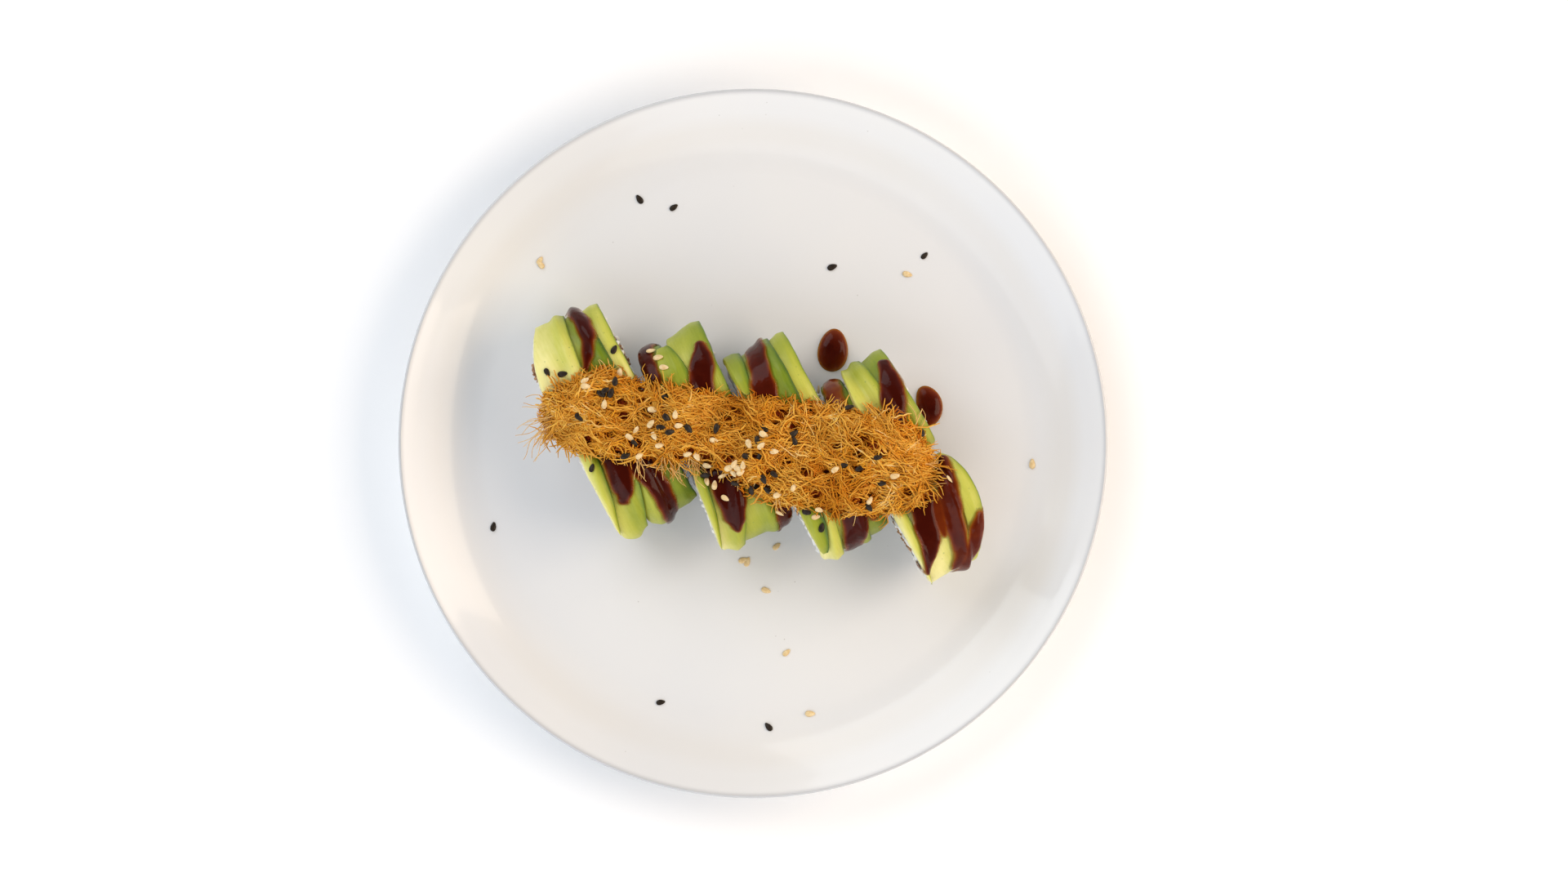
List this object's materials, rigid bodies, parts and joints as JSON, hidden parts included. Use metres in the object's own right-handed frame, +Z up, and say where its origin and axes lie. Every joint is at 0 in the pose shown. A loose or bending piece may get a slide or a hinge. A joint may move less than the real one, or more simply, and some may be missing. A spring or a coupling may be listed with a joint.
{
  "type": "vegetable roll on a plate",
  "caption": "Cut vegetable sushi roll under fanned avocado slices, topped with crisp orange floss, dark sauce and sesame, on a round off-white coupe plate.",
  "frame": {"origin": "middle of the plate, on the surface that its foot stands on", "axes": "+Z up out of the plate; +Y towards the back row of pieces, +X to the right along the roll"},
  "size_m": [0.23, 0.23, 0.0487],
  "materials": {
    "glaze": "gloss",
    "rice": "satin",
    "nori": "matte",
    "filling": "matte",
    "avocado": "satin",
    "sauce": "gloss",
    "floss": "satin"
  },
  "bodies": {
    "root": {"plate": "glaze", "sauce_drop_1": "sauce", "sauce_drop_2": "sauce", "back_1_rice": "rice", "back_1_nori": "nori", "back_1_filling": "filling", "back_1_avocado_1": "avocado", "back_1_avocado_2": "avocado", "back_1_avocado_3": "avocado", "front_1_rice": "rice", "front_1_nori": "nori", "front_1_filling": "filling", "front_1_avocado_1": "avocado", "front_1_avocado_2": "avocado", "front_1_avocado_3": "avocado", "front_1_avocado_4": "avocado", "back_2_rice": "rice", "back_2_nori": "nori", "back_2_filling": "filling", "back_2_avocado_1": "avocado", "back_2_avocado_2": "avocado", "back_2_avocado_3": "avocado", "front_2_rice": "rice", "front_2_nori": "nori", "front_2_filling": "filling", "front_2_avocado_1": "avocado", "front_2_avocado_2": "avocado", "front_2_avocado_3": "avocado", "front_2_avocado_4": "avocado", "back_3_rice": "rice", "back_3_nori": "nori", "back_3_filling": "filling", "back_3_avocado_1": "avocado", "back_3_avocado_2": "avocado", "back_3_avocado_3": "avocado", "front_3_rice": "rice", "front_3_nori": "nori", "front_3_filling": "filling", "front_3_avocado_1": "avocado", "front_3_avocado_2": "avocado", "front_3_avocado_3": "avocado", "front_3_avocado_4": "avocado", "back_4_rice": "rice", "back_4_nori": "nori", "back_4_filling": "filling", "back_4_avocado_1": "avocado", "back_4_avocado_2": "avocado", "back_4_avocado_3": "avocado", "front_4_rice": "rice", "front_4_nori": "nori", "front_4_filling": "filling", "front_4_avocado_1": "avocado", "front_4_avocado_2": "avocado", "front_4_avocado_3": "avocado", "floss": "floss"}
  },
  "joints": []
}
